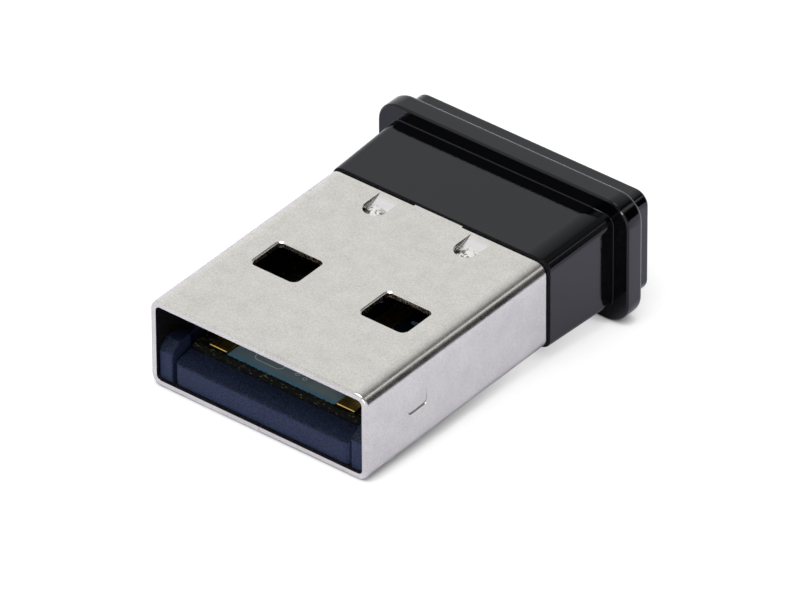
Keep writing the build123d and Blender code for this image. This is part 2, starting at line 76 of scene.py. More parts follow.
class NodeSheet:
    """A material's node tree, with short calls that add nodes and join their sockets."""

    def __init__(self, name: str) -> None:
        """Starts a material with one Principled shader and the object's own coordinates.

        Args:
            name: The material's name.
        """
        self.material = bpy.data.materials.new(name)
        self.material.use_nodes = True
        self.tree = self.material.node_tree
        self.shader = self.tree.nodes["Principled BSDF"]
        self.place = self.add("ShaderNodeTexCoord").outputs["Object"]

    def add(self, kind: str, **settings: object) -> bpy.types.Node:
        """Adds a node.

        Args:
            kind: The node's type name.
            **settings: Properties to set on the node.

        Returns:
            The new node.
        """
        node = self.tree.nodes.new(kind)
        for key, value in settings.items():
            setattr(node, key, value)
        return node

    def join(self, source: Source, target: Socket) -> None:
        """Joins an output to an input, or sets the input to a number or a colour.

        Args:
            source: The output, the number or the colour.
            target: The input.
        """
        if isinstance(source, Socket):
            self.tree.links.new(source, target)
        elif isinstance(source, tuple):
            target.default_value = (*source, 1)
        else:
            target.default_value = source

    def set(self, **sources: Source) -> None:
        """Joins or sets inputs of the shader, with underscores for the spaces in their names."""
        for key, source in sources.items():
            self.join(source, self.shader.inputs[key.replace("_", " ")])

    def axes(self) -> tuple[Socket, ...]:
        """Splits the place into its coordinates.

        Returns:
            The X, Y and Z.
        """
        split = self.add("ShaderNodeSeparateXYZ")
        self.join(self.place, split.inputs["Vector"])
        return tuple(split.outputs)

    def noise(self, size: float, detail: float = 2.0, stretch: Colour = (1, 1, 1)) -> Socket:
        """Adds fractal noise.

        Args:
            size: The size of its largest cells.
            detail: Octaves of finer noise.
            stretch: How much longer the cells are along X, Y and Z.

        Returns:
            The noise's value, about 0.5 on average.
        """
        spread = self.add("ShaderNodeMapping")
        spread.inputs["Scale"].default_value = [1 / (size * longer) for longer in stretch]
        self.join(self.place, spread.inputs["Vector"])
        node = self.add("ShaderNodeTexNoise")
        node.inputs["Scale"].default_value = 1.0
        node.inputs["Detail"].default_value = detail
        self.join(spread.outputs["Vector"], node.inputs["Vector"])
        return node.outputs["Fac"]

    def ramp(self, value: Socket, limits: Range, at_low: Colour, at_high: Colour) -> Socket:
        """Maps a value to a colour.

        Args:
            value: The value to read.
            limits: Where the first colour ends and where the second one starts.
            at_low: The colour at and below the first limit.
            at_high: The colour at and above the second limit.

        Returns:
            The colour.
        """
        node = self.add("ShaderNodeValToRGB")
        for stop, limit, colour in zip(node.color_ramp.elements, limits, (at_low, at_high)):
            stop.position = limit
            stop.color = (*colour, 1)
        self.join(value, node.inputs["Fac"])
        return node.outputs["Color"]

    def span(self, value: Socket, low: float, high: float, to_low: float, to_high: float) -> Socket:
        """Maps a value's range to another range and clamps it there.

        Args:
            value: The value to read.
            low: Where the range starts.
            high: Where the range ends.
            to_low: The result at and before the start.
            to_high: The result at and past the end.

        Returns:
            The mapped value.
        """
        node = self.add("ShaderNodeMapRange")
        limits = {"From Min": low, "From Max": high, "To Min": to_low, "To Max": to_high}
        for key, number in limits.items():
            node.inputs[key].default_value = number
        self.join(value, node.inputs["Value"])
        return node.outputs["Result"]

    def math(self, operation: str, *values: Source) -> Socket:
        """Adds a math node.

        Args:
            operation: The node's operation.
            *values: Its numbers or sockets, in order.

        Returns:
            The result.
        """
        node = self.add("ShaderNodeMath", operation=operation)
        for value, target in zip(values, node.inputs):
            self.join(value, target)
        return node.outputs["Value"]

    def product(self, first: Source, *others: Source) -> Socket:
        """Multiplies numbers.

        Args:
            first: The first number or socket.
            *others: The other ones.

        Returns:
            The product.
        """
        for other in others:
            first = self.math("MULTIPLY", first, other)
        return first

    def blend(self, share: Source, first: Source, second: Source) -> Socket:
        """Mixes two numbers.

        Args:
            share: The share of the second.
            first: The first number.
            second: The second number.

        Returns:
            The mixed number.
        """
        node = self.add("ShaderNodeMix", data_type="FLOAT")
        for source, key in ((share, "Factor"), (first, "A"), (second, "B")):
            self.join(source, node.inputs[key])
        return node.outputs["Result"]

    def mix(self, share: Source, first: Source, second: Source) -> Socket:
        """Mixes two colours.

        Args:
            share: The share of the second.
            first: The first colour.
            second: The second colour.

        Returns:
            The mixed colour.
        """
        node = self.add("ShaderNodeMix", data_type="RGBA")
        self.join(share, node.inputs["Factor"])
        colour_inputs = [socket for socket in node.inputs if socket.type == "RGBA"]
        for source, target in zip((first, second), colour_inputs):
            self.join(source, target)
        return next(socket for socket in node.outputs if socket.type == "RGBA")

    def levels(self, value: Socket, stops: tuple[Range, ...]) -> Socket:
        """Maps a value to levels between stops.

        Args:
            value: The value to read.
            stops: Pairs of a value and its level, in rising order.

        Returns:
            The level, in a straight line between two stops.
        """
        low, high = stops[0][0], stops[-1][0]
        most = max(level for _, level in stops)
        node = self.add("ShaderNodeValToRGB")
        elements = node.color_ramp.elements
        for index, (at, level) in enumerate(stops):
            place = (at - low) / (high - low)
            stop = elements[index] if index < 1 else elements.new(place)
            stop.position = place
            stop.color = (level / most,) * 3 + (1,)
        elements.remove(elements[-1])
        self.join(self.span(value, low, high, 0.0, 1.0), node.inputs["Fac"])
        return self.math("MULTIPLY", node.outputs["Color"], most)

    def relief(self, height: Socket, depth: float, under: Socket | None = None) -> Socket:
        """Turns a height into a bumped normal.

        Args:
            height: The height, as a share of the depth.
            depth: The depth that 1 stands for.
            under: A coarser relief that this one lies on.

        Returns:
            The normal.
        """
        node = self.add("ShaderNodeBump")
        node.inputs["Distance"].default_value = depth
        node.inputs["Strength"].default_value = 1.0
        self.join(height, node.inputs["Height"])
        if under is not None:
            self.join(under, node.inputs["Normal"])
        return node.outputs["Normal"]


class SkySheet(NodeSheet):
    """The surroundings' node tree, which reads a direction in place of a point."""

    def __init__(self, name: str) -> None:
        """Starts a world with one background and the direction that it is seen in.

        Args:
            name: The world's name.
        """
        world = bpy.data.worlds.new(name)
        bpy.context.scene.world = world
        world.use_nodes = True
        self.tree = world.node_tree
        self.shader = self.tree.nodes["Background"]
        self.shader.inputs["Color"].default_value = (1, 1, 1, 1)
        self.place = self.add("ShaderNodeTexCoord").outputs["Generated"]


@dataclass(frozen=True)
class SatinNickel:
    """Nickel-plated steel with a fine satin grain, crumpled where its dimples are stamped in; their deep
    ends carry painted shade and painted sparkles, and their faces a lighter painted sheen.
    """

    half_x: float
    low_z: float
    top_z: float
    name: str = "satin_nickel"
    low: Colour = (0.545, 0.530, 0.502)
    high: Colour = (0.745, 0.728, 0.690)
    contrast: Range = (0.3, 0.7)
    roughness: Range = (0.21, 0.26)
    grain: float = 0.07 * MM
    grain_depth: float = 0.0012 * MM
    mottle: float = 0.9 * MM
    mottle_share: float = 0.30
    dimple_x: float = 2.53 * MM
    dimple_y: Range = (1.05 * MM, 2.70 * MM)
    dimple_half: float = 0.62 * MM
    dimple_rim: float = 0.03 * MM
    dimple_lead: float = 0.08 * MM
    dimple_drop: Range = (0.01 * MM, 0.10 * MM)
    upper_depth: float = 1.0 * MM
    # Painted shade and painted sparkles for the dimples' deep ends, and a lighter painted sheen for their
    # faces.
    painted_end_shares: Range = (0.35, 0.65)
    sparkle_contrast: Range = (0.42, 0.54)
    painted_end_shade: Colour = (0.09, 0.062, 0.035)
    painted_sparkle: Colour = (0.98, 0.96, 0.92)
    painted_dimple_sheen: Colour = (0.80, 0.78, 0.82)
    crumple: float = 0.19 * MM
    crumple_depth: float = 0.11 * MM
    least_crumple: float = 0.08
    bend: float = 0.55 * MM
    soft_bend: float = 0.78 * MM
    soft_slope: float = 0.20

    def material(self) -> bpy.types.Material:
        """Builds the finish's material.

        Returns:
            The material.
        """
        sheet = NodeSheet(self.name)
        grain = sheet.noise(self.grain, detail=3.0)
        mottle = sheet.noise(self.mottle)
        crumple = sheet.noise(self.crumple)
        sunk, bent, painted_end_share = self.dimples(sheet)
        shade = sheet.blend(self.mottle_share, grain, mottle)
        satin = sheet.ramp(shade, self.contrast, self.low, self.high)
        # The dimples' faces get a lighter lilac tint: a painted sheen.
        satin = sheet.mix(sunk, satin, sheet.ramp(grain, (0.0, 1.0), self.high, self.painted_dimple_sheen))
        # Near-black and near-white specks on the deep ends: painted shade and painted sparkles.
        rough = sheet.ramp(crumple, self.sparkle_contrast, self.painted_end_shade, self.painted_sparkle)
        soft = sheet.relief(self.shoulders(sheet), MM)
        fine = sheet.relief(grain, self.grain_depth, under=soft)
        sheet.set(
            Metallic=1.0,
            Base_Color=sheet.mix(painted_end_share, satin, rough),
            Roughness=sheet.span(mottle, *self.contrast, *self.roughness),
            Normal=sheet.relief(sheet.product(crumple, bent), self.crumple_depth, under=fine),
        )
        return sheet.material

    def shoulders(self, sheet: NodeSheet) -> Socket:
        """Works out how the sheet falls away beside its bends, so that they look softer.

        Args:
            sheet: The material's node sheet.

        Returns:
            The height in millimetres, from 0 on the flat faces.
        """
        x, _, z = sheet.axes()
        middle_z = (self.low_z + self.top_z) / 2
        up = sheet.math("SUBTRACT", z, middle_z)
        reach = self.soft_bend - self.bend
        falls = []
        for place, half in ((x, self.half_x), (up, self.top_z - middle_z)):
            away = sheet.math("ABSOLUTE", place)
            start = half - self.bend
            share = sheet.span(away, start - reach, start, 0.0, 1.0)
            beside = sheet.product(share, share, reach / 2)
            falls.append(sheet.math("ADD", beside, sheet.span(away, start, half, 0.0, self.bend)))
        return sheet.product(sheet.math("ADD", *falls), -self.soft_slope / MM)

    def dimples(self, sheet: NodeSheet) -> tuple[Socket, ...]:
        """Finds the two dimples by their place.

        Args:
            sheet: The material's node sheet.

        Returns:
            The shares of a dimple's surface, of its bent part, and of its deep end, which carries the
            painted shade and painted sparkles.
        """
        x, y, z = sheet.axes()
        near, far = self.dimple_y
        from_y, until_y = (near + share * (far - near) for share in self.painted_end_shares)
        high_z, low_z = (self.top_z - drop for drop in self.dimple_drop)
        across = sheet.math("ABSOLUTE", sheet.math("SUBTRACT", sheet.math("ABSOLUTE", x), self.dimple_x))
        here = sheet.product(
            sheet.span(across, self.dimple_half, self.dimple_half + self.dimple_rim, 1.0, 0.0),
            sheet.span(y, near - self.dimple_lead, near, 0.0, 1.0),
            sheet.span(z, low_z, high_z, 1.0, 0.0),
            sheet.span(z, 0.0, self.top_z - self.upper_depth, 0.0, 1.0),
        )
        bent = sheet.span(y, near, until_y, 1.0, self.least_crumple)
        deep = sheet.span(y, from_y, until_y, 1.0, 0.0)
        return here, sheet.product(here, bent), sheet.product(here, deep)


@dataclass(frozen=True)
class ShearedSteel:
    """The bare, rough steel of a punched wall, with fine lines up it and along it."""

    name: str = "sheared_steel"
    low: Colour = (0.022, 0.019, 0.015)
    high: Colour = (0.46, 0.40, 0.32)
    contrast: Range = (0.44, 0.60)
    roughness: float = 0.40
    upright: float = 0.06 * MM
    level: float = 0.05 * MM
    level_share: float = 0.45
    line_depth: float = 0.02 * MM

    def material(self) -> bpy.types.Material:
        """Builds the finish's material.

        Returns:
            The material.
        """
        sheet = NodeSheet(self.name)
        upright = sheet.noise(self.upright, stretch=(1, 1, 4))
        level = sheet.noise(self.level, stretch=(6, 6, 1))
        lines = sheet.blend(self.level_share, upright, level)
        sheet.set(
            Metallic=1.0,
            Base_Color=sheet.ramp(lines, self.contrast, self.low, self.high),
            Roughness=self.roughness,
            Normal=sheet.relief(lines, self.line_depth),
        )
        return sheet.material


@dataclass(frozen=True)
class Grained:
    """A surface in two shades of one fine grain, for the plain plastics and metals that follow."""

    name: str
    low: Colour
    high: Colour
    roughness: float
    grain: float
    grain_depth: float
    detail: float = 3.0
    stretch: Colour = (1, 1, 1)
    contrast: Range = (0.35, 0.65)
    metallic: float = 0.0
    ior: float = 1.5

    def material(self) -> bpy.types.Material:
        """Builds the finish's material.

        Returns:
            The material.
        """
        sheet = NodeSheet(self.name)
        grain = sheet.noise(self.grain, detail=self.detail, stretch=self.stretch)
        sheet.set(
            Metallic=self.metallic,
            Base_Color=sheet.ramp(grain, self.contrast, self.low, self.high),
            Roughness=self.roughness,
            IOR=self.ior,
            Normal=sheet.relief(grain, self.grain_depth),
        )
        return sheet.material


@dataclass(frozen=True)
class ShadedInsideSteel(Grained):
    """The inside of the folded sheet, near black: painted shade."""

    name: str = "inside_steel_painted_shade"
    low: Colour = (0.015, 0.015, 0.017)
    high: Colour = (0.050, 0.050, 0.055)
    roughness: float = 0.55
    grain: float = 0.08 * MM
    grain_depth: float = 0.005 * MM
    metallic: float = 1.0


@dataclass(frozen=True)
class ShadedRoundPlastic(Grained):
    """A dull charcoal plastic on the neck's front round, beside the shell, that stands in for the shade of
    the gap there: painted shade.
    """

    name: str = "matt_black_painted_shade"
    low: Colour = (0.0008, 0.0008, 0.0012)
    high: Colour = (0.0090, 0.0090, 0.0115)
    roughness: float = 0.50
    grain: float = 0.08 * MM
    grain_depth: float = 0.010 * MM
    contrast: Range = (0.40, 0.66)
    ior: float = 1.16


@dataclass(frozen=True)
class SparkTexturedPlastic(Grained):
    """Dark navy plastic from a spark-eroded mould."""

    name: str = "spark_textured_navy"
    low: Colour = (0.008, 0.013, 0.032)
    high: Colour = (0.030, 0.042, 0.094)
    roughness: float = 0.42
    grain: float = 0.055 * MM
    grain_depth: float = 0.018 * MM
    detail: float = 4.0
    contrast: Range = (0.38, 0.66)
    ior: float = 1.22


@dataclass(frozen=True)
class ShadedSparklingPlastic(SparkTexturedPlastic):
    """The same plastic on slopes, where its texture catches the light in grains, and darker there as painted
    shade under the shell's mouth.
    """

    name: str = "sparkling_navy_painted_shade"
    low: Colour = (0.0002, 0.0010, 0.0040)
    high: Colour = (0.022, 0.032, 0.070)
    roughness: float = 0.36
    grain_depth: float = 0.035 * MM


@dataclass(frozen=True)
class PlatedMetal(Grained):
    """A smooth plated metal with fine scuffs, such as the contacts' gold or the crystal's can."""

    roughness: float = 0.22
    grain: float = 0.12 * MM
    grain_depth: float = 0.001 * MM
    stretch: Colour = (0.4, 4, 1)
    metallic: float = 1.0


@dataclass(frozen=True)
class MouldedPackage(Grained):
    """The matt moulding compound round a chip."""

    roughness: float = 0.6
    grain: float = 0.05 * MM
    grain_depth: float = 0.003 * MM
    contrast: Range = (0.3, 0.7)


CONTACT_GOLD = PlatedMetal("contact_gold", low=(0.74, 0.48, 0.11), high=(0.98, 0.72, 0.24), roughness=0.34)
CRYSTAL_CAN = PlatedMetal("crystal_can", low=(0.55, 0.54, 0.52), high=(0.66, 0.65, 0.62), roughness=0.3)
ANTENNA_COPPER = PlatedMetal("antenna_copper", low=(0.58, 0.38, 0.12), high=(0.70, 0.48, 0.18))
RADIO_PACKAGE = MouldedPackage("radio_package", low=(0.015, 0.015, 0.015), high=(0.03, 0.03, 0.03))


@dataclass(frozen=True)
class PolishedPlastic:
    """Black plastic from a polished mould, with a sink mark along the neck's right edge."""

    neck_x: float
    neck_y: Range
    neck_flare: float
    name: str = "polished_black"
    low: Colour = (0.0001, 0.0001, 0.0002)
    high: Colour = (0.0004, 0.0004, 0.0007)
    contrast: Range = (0.35, 0.65)
    sheen: Colour = (0.89, 0.92, 1.00)
    ior: float = 1.42
    roughness: Range = (0.05, 0.08)
    roughness_contrast: Range = (0.3, 0.7)
    specks: float = 0.09 * MM
    speck_depth: float = 0.0024 * MM
    waviness: float = 2.5 * MM
    wave_depth: float = 0.0010 * MM
    fall_width: float = 0.80 * MM
    fall_end: float = 0.50 * MM
    fall_slope: float = 0.52
    recovery: float = 0.28 * MM
    rear_end: float = 0.01 * MM

    def material(self) -> bpy.types.Material:
        """Builds the finish's material.

        Returns:
            The material.
        """
        sheet = NodeSheet(self.name)
        specks = sheet.noise(self.specks, detail=3.0)
        wave = sheet.relief(sheet.noise(self.waviness, detail=1.0), self.wave_depth)
        crown = sheet.relief(self.crown(sheet), MM, under=wave)
        sheet.set(
            Base_Color=sheet.ramp(specks, self.contrast, self.low, self.high),
            Roughness=sheet.span(specks, *self.roughness_contrast, *self.roughness),
            IOR=self.ior,
            Specular_Tint=self.sheen,
            Normal=sheet.relief(specks, self.speck_depth, under=crown),
        )
        return sheet.material

    def crown(self, sheet: NodeSheet) -> Socket:
        """Works out how far the neck's top and underside fall away towards its right edge.

        Args:
            sheet: The material's node sheet.

        Returns:
            The height in millimetres, from 0 in the middle.
        """
        x, y, _ = sheet.axes()
        bend = self.neck_x - self.fall_end
        rear = self.neck_y[1]
        side = sheet.math("ADD", x, sheet.span(y, *self.neck_y, self.neck_flare, 0.0))
        share = sheet.span(side, bend - self.fall_width, bend, 0.0, 1.0)
        rest = sheet.span(side, bend, bend + self.recovery, 1.0, 0.0)
        steeper = sheet.product(share, share, self.fall_width)
        flatter = sheet.product(sheet.math("SUBTRACT", 1.0, sheet.product(rest, rest)), self.recovery)
        along = sheet.span(y, rear - self.rear_end, rear, 1.0, 0.0)
        return sheet.product(sheet.math("ADD", steeper, flatter), -self.fall_slope / (2 * MM), along)


@dataclass(frozen=True)
class SolderMask:
    """Solder mask over the board's copper, with bare laminate along its cut edges.

    The mask is light where the mouth shows it, between the outer contacts; behind, it has painted shade with
    a few painted patches of light.
    """

    front_y: float
    low_z: float
    top_z: float
    vias: tuple[Range, ...]
    name: str = "solder_mask"
    ior: float = 1.20
    mask: Colour = (0.24, 0.35, 0.40)
    mask_light: Colour = (0.32, 0.41, 0.45)
    mask_rim: Colour = (0.13, 0.36, 0.52)
    # The dark colour and the light patches behind are painted shade and painted light.
    mask_painted_shade: Colour = (0.004, 0.008, 0.012)
    clouds: float = 1.4 * MM
    cloud_contrast: Range = (0.42, 0.58)
    painted_light_patches: Colour = (0.20, 0.38, 0.52)
    light_patch_size: float = 0.50 * MM
    light_patch_contrast: Range = (0.66, 0.68)
    tin: Colour = (0.80, 0.85, 0.88)
    laminate: Colour = (0.003, 0.004, 0.003)
    laminate_light: Colour = (0.200, 0.195, 0.100)
    laminate_contrast: Range = (0.48, 0.72)
    roughness: Range = (0.75, 0.30)
    setback: float = 0.33 * MM
    rags: float = 0.08 * MM
    raggedness: float = 0.22 * MM
    rim_width: float = 0.40 * MM
    half_width: float = 2.95 * MM
    mask_edge: float = 0.02 * MM
    side_edge: float = 0.05 * MM
    top_skin: Range = (0.02 * MM, 0.01 * MM)
    glass: float = 0.10 * MM
    glass_depth: float = 0.02 * MM
    speckle_share: float = 0.45
    speckle_fade: float = 0.10 * MM
    speckle_levels: Range = (0.13, -0.10)
    light_until: float = 1.9 * MM
    dark_fade: float = 0.5 * MM
    via_radius: float = 0.09 * MM
    land_middle: Range = (-1.19 * MM, -6.80 * MM)
    land_half: Range = (0.76 * MM, 0.76 * MM)
    land_corner: float = 0.26 * MM
    tin_line: Range = (0.015 * MM, 0.035 * MM)

    def material(self) -> bpy.types.Material:
        """Builds the finish's material.

        Returns:
            The material.
        """
        sheet = NodeSheet(self.name)
        x, y, z = sheet.axes()
        edge = self.front_y + self.setback
        wander = sheet.math("MULTIPLY_ADD", sheet.noise(self.rags), self.raggedness, y)
        skin_from, skin_until = (self.top_z - depth for depth in self.top_skin)
        side = sheet.math("ABSOLUTE", x)
        covered = sheet.product(
            sheet.span(wander, edge, edge + self.mask_edge, 0.0, 1.0),
            sheet.span(z, skin_from, skin_until, 0.0, 1.0),
            sheet.span(side, self.half_width, self.half_width + self.side_edge, 1.0, 0.0),
        )
        glass = sheet.noise(self.glass, detail=4.0, stretch=(2.0, 1, 0.7))
        middle = self.low_z + self.speckle_share * (self.top_z - self.low_z)
        low = sheet.span(z, middle, middle + self.speckle_fade, *self.speckle_levels)
        speckled = sheet.math("ADD", glass, low)
        bare = sheet.ramp(speckled, self.laminate_contrast, self.laminate, self.laminate_light)
        sheet.set(
            Base_Color=sheet.mix(covered, bare, self.skin(sheet, y, wander)),
            Roughness=sheet.span(covered, 0.0, 1.0, *self.roughness),
            IOR=self.ior,
            Normal=sheet.relief(glass, self.glass_depth),
        )
        return sheet.material

    def skin(self, sheet: NodeSheet, y: Socket, wander: Socket) -> Socket:
        """Colours the mask: light in front, with its vias, and behind, painted shade with a few painted
        patches of light.

        Args:
            sheet: The material's node sheet.
            y: The place along the board.
            wander: The place along the board, roughened as the mask's front edge is.

        Returns:
            The mask's colour.
        """
        clouds = sheet.noise(self.clouds, detail=1.0)
        light = sheet.ramp(clouds, self.cloud_contrast, self.mask, self.mask_light)
        patches = sheet.noise(self.light_patch_size, detail=0.0)
        # Behind the front, the mask is painted shade with noise patches of painted light.
        dark = sheet.ramp(patches, self.light_patch_contrast, self.mask_painted_shade, self.painted_light_patches)
        edge = self.front_y + self.setback
        in_from_rim = sheet.span(wander, edge, edge + self.rim_width, 0.0, 1.0)
        light = sheet.mix(in_from_rim, self.mask_rim, light)
        start = self.front_y + self.light_until
        colour = sheet.mix(sheet.span(y, start, start + self.dark_fade, 0.0, 1.0), light, dark)
        outlines = [self.land(sheet)]
        for place in self.vias:
            away = sheet.add("ShaderNodeVectorMath", operation="DISTANCE")
            away.inputs[1].default_value = (*place, self.top_z)
            sheet.join(sheet.place, away.inputs[0])
            outlines.append(sheet.math("SUBTRACT", away.outputs["Value"], self.via_radius))
        for off in outlines:
            line = sheet.span(sheet.math("ABSOLUTE", off), *self.tin_line, 1.0, 0.0)
            colour = sheet.mix(line, colour, self.tin)
        return colour

    def land(self, sheet: NodeSheet) -> Socket:
        """Works out the distance from a soldering land's outline, a square with round corners.

        Args:
            sheet: The material's node sheet.

        Returns:
            The distance, negative inside the outline.
        """
        squares = []
        for place, middle, half in zip(sheet.axes(), self.land_middle, self.land_half):
            away = sheet.math("ABSOLUTE", sheet.math("SUBTRACT", place, middle))
            past = sheet.math("MAXIMUM", sheet.math("SUBTRACT", away, half - self.land_corner), 0.0)
            squares.append(sheet.product(past, past))
        return sheet.math("SUBTRACT", sheet.math("SQRT", sheet.math("ADD", *squares)), self.land_corner)


@dataclass(frozen=True)
class EndedChip:
    """Ceramic of a two-terminal part, with tinned ends beyond a distance from its middle."""

    name: str
    middle_x: float
    end_from: float
    low: Colour
    high: Colour
    contrast: Range = (0.3, 0.7)
    roughness: Range = (0.45, 0.3)
    tin: Colour = (0.62, 0.62, 0.61)
    tin_edge: float = 0.005 * MM
    grain: float = 0.06 * MM
    grain_depth: float = 0.003 * MM

    def material(self) -> bpy.types.Material:
        """Builds the finish's material.

        Returns:
            The material.
        """
        sheet = NodeSheet(self.name)
        x = sheet.axes()[0]
        away = sheet.math("ABSOLUTE", sheet.math("SUBTRACT", x, self.middle_x))
        tinned = sheet.span(away, self.end_from, self.end_from + self.tin_edge, 0.0, 1.0)
        grain = sheet.noise(self.grain, detail=3.0)
        ceramic = sheet.ramp(grain, self.contrast, self.low, self.high)
        sheet.set(
            Metallic=tinned,
            Base_Color=sheet.mix(tinned, ceramic, self.tin),
            Roughness=sheet.span(tinned, 0.0, 1.0, *self.roughness),
            Normal=sheet.relief(grain, self.grain_depth),
        )
        return sheet.material


def dress(piece: bpy.types.Object, material: bpy.types.Material) -> None:
    """Gives a piece one material all over."""
    piece.data.materials.clear()
    piece.data.materials.append(material)


def only(piece: bpy.types.Object) -> None:
    """Deselects everything, then selects a piece and makes it active.

    Args:
        piece: The piece.
    """
    bpy.ops.object.select_all(action="DESELECT")
    piece.select_set(True)
    bpy.context.view_layer.objects.active = piece


def merged_copy(node: str, name: str) -> bpy.types.Object:
    """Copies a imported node's mesh, merges its loose triangles and dissolves its flat faces.

    Args:
        node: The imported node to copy.
        name: The copy's name.

    Returns:
        The copy, selected and active.
    """
    piece = bpy.data.objects.new(name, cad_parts[node].data.copy())
    bpy.context.scene.collection.objects.link(piece)
    only(piece)
    bpy.ops.object.mode_set(mode="EDIT")
    bpy.ops.mesh.select_all(action="SELECT")
    bpy.ops.mesh.remove_doubles(threshold=MERGE_DISTANCE)
    bpy.ops.mesh.dissolve_limited(angle_limit=FLAT_ANGLE)
    bpy.ops.object.mode_set(mode="OBJECT")
    return piece


def round_edges(piece: bpy.types.Object, chosen: Callable[[Vector], bool], width: float, steps: int) -> None:
    """Rounds the edges whose two ends both lie in a chosen place.

    Args:
        piece: The piece to change.
        chosen: Tells whether a point lies in the place.
        width: The width of the rounding on each side of the edge.
        steps: The number of faces across it.
    """
    only(piece)
    bpy.ops.object.mode_set(mode="EDIT")
    bpy.ops.mesh.select_mode(type="EDGE")
    bpy.ops.mesh.select_all(action="DESELECT")
    bpy.ops.object.mode_set(mode="OBJECT")
    points = piece.data.vertices
    for edge in piece.data.edges:
        edge.select = all(chosen(points[end].co) for end in edge.vertices)
    bpy.ops.object.mode_set(mode="EDIT")
    bpy.ops.mesh.bevel(offset=width, segments=steps, affect="EDGES", clamp_overlap=True)
    bpy.ops.object.mode_set(mode="OBJECT")


def finish_copy(piece: bpy.types.Object, node: str, edge_round: float) -> None:
    """Softens a copy's sharp edges, smooths its curved faces and puts it in its node's place.

    Args:
        piece: The copy.
        node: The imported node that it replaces.
        edge_round: The width of the softening on sharp edges.
    """
    only(piece)
    bpy.ops.object.modifier_add(type="BEVEL")
    softening = piece.modifiers[-1]
    softening.width = edge_round
    softening.segments = SOFTENING_STEPS
    softening.limit_method = "ANGLE"
    softening.angle_limit = SHARP_ANGLE
    softening.harden_normals = False
    bpy.ops.object.modifier_apply(modifier=softening.name)
    bpy.ops.object.shade_smooth_by_angle(angle=SHARP_ANGLE)
    bpy.ops.object.modifier_add(type="WEIGHTED_NORMAL")
    piece.modifiers[-1].keep_sharp = True
    bpy.ops.object.modifier_apply(modifier=piece.modifiers[-1].name)
    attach(piece, "root")
    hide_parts(node)


def paint_faces(piece: bpy.types.Object, material: bpy.types.Material,
                chosen: Callable[[Vector, Vector], bool]) -> None:
    """Gives a second material to the faces in a chosen place.

    Args:
        piece: The piece to change.
        material: The material for those faces.
        chosen: Tells by a face's centre and normal whether it gets the material.
    """
    piece.data.materials.append(material)
    slot = len(piece.data.materials) - 1
    for face in piece.data.polygons:
        if chosen(face.center, face.normal):
            face.material_index = slot


@dataclass
class Plug:
    """The plug: its folded shell, the board tray in its mouth, the board and the four contacts."""

    sheet: float = 0.3 * MM
    window_spacing: float = 6.02 * MM
    window_width: float = 2.5 * MM
    window_length: float = 2.05 * MM
    window_setback: float = 5.74 * MM
    rim: float = 0.07 * MM
    dimple_from: float = 0.95 * MM
    dimple_below: float = 1.4 * MM
    near: float = 0.01 * MM
    upright_limit: float = 0.5
    slope_limit: float = 0.35
    shell_edge: float = 0.03 * MM
    tray_edge: float = 0.05 * MM
    contact_edge: float = 0.045 * MM
    vias: tuple[Range, ...] = ((0.34 * MM, -7.32 * MM), (0.81 * MM, -7.40 * MM))
    contacts: tuple[str, ...] = (
        "outer_contact_left", "inner_contact_left", "inner_contact_right", "outer_contact_right",
    )

    def build(self) -> None:
        """Makes and dresses the plug's pieces."""
        self.shell()
        self.tray()
        low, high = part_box("circuit_board")
        mask = SolderMask(front_y=low.y, low_z=low.z, top_z=high.z, vias=self.vias)
        dress(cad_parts["circuit_board"], mask.material())
        LOG.info("plug: circuit board")
        gold = CONTACT_GOLD.material()
        for node in self.contacts:
            contact = merged_copy(node, f"{node}_plated")
            finish_copy(contact, node, self.contact_edge)
            dress(contact, gold)
            LOG.info("plug: %s", contact.name)

    def shell(self) -> None:
        """Makes the folded shell, with satin faces, rougher walls where its windows were punched, and
        painted shade inside the sheet.
        """
        low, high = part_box("plug_shell")
        shell = merged_copy("plug_shell", "folded_shell")
        finish_copy(shell, "plug_shell", self.shell_edge)
        dress(shell, SatinNickel(half_x=high.x, low_z=low.z, top_z=high.z).material())
        window_y = low.y + self.window_setback
        middle_z = (low.z + high.z) / 2

        def sheared(centre: Vector, normal: Vector) -> bool:
            """Tells whether a face is a punched wall of a window.

            Args:
                centre: The face's centre.
                normal: The way that it faces.

            Returns:
                Whether it is one.
            """
            across = abs(abs(centre.x) - self.window_spacing / 2) < self.window_width / 2 + self.rim
            along = abs(centre.y - window_y) < self.window_length / 2 + self.rim
            depth = min(high.z - centre.z, centre.z - low.z)
            upright = abs(normal.z) < self.upright_limit
            return across and along and upright and self.rim < depth < self.sheet

        def inner(centre: Vector, normal: Vector) -> bool:
            """Tells whether a face lies inside the folded sheet.

            Args:
                centre: The face's centre.
                normal: The way that it faces, which plays no part.

            Returns:
                Whether it lies there.
            """
            wall = self.sheet - self.near
            across = abs(centre.x) < high.x - wall
            between = low.z + wall < centre.z < high.z - wall
            along = low.y + self.near < centre.y < high.y - self.near
            dimpled = centre.y > self.dimple_from and abs(centre.z - middle_z) > self.dimple_below
            return across and between and along and not dimpled

        paint_faces(shell, ShearedSteel().material(), sheared)
        # Faces inside the folded sheet get a near-black steel: painted shade.
        paint_faces(shell, ShadedInsideSteel().material(), inner)
        LOG.info("plug: %s", shell.name)

    def tray(self) -> None:
        """Makes the moulded tray, which sparkles a little on its sloped faces and is darker there as painted
        shade.
        """
        tray = merged_copy("board_tray", "moulded_tray")
        finish_copy(tray, "board_tray", self.tray_edge)
        dress(tray, SparkTexturedPlastic().material())
        sparkling = ShadedSparklingPlastic().material()
        # Upward sloped faces get the darker plastic: painted shade.
        paint_faces(tray, sparkling, lambda centre, normal: normal.z > self.slope_limit)
        LOG.info("plug: %s", tray.name)


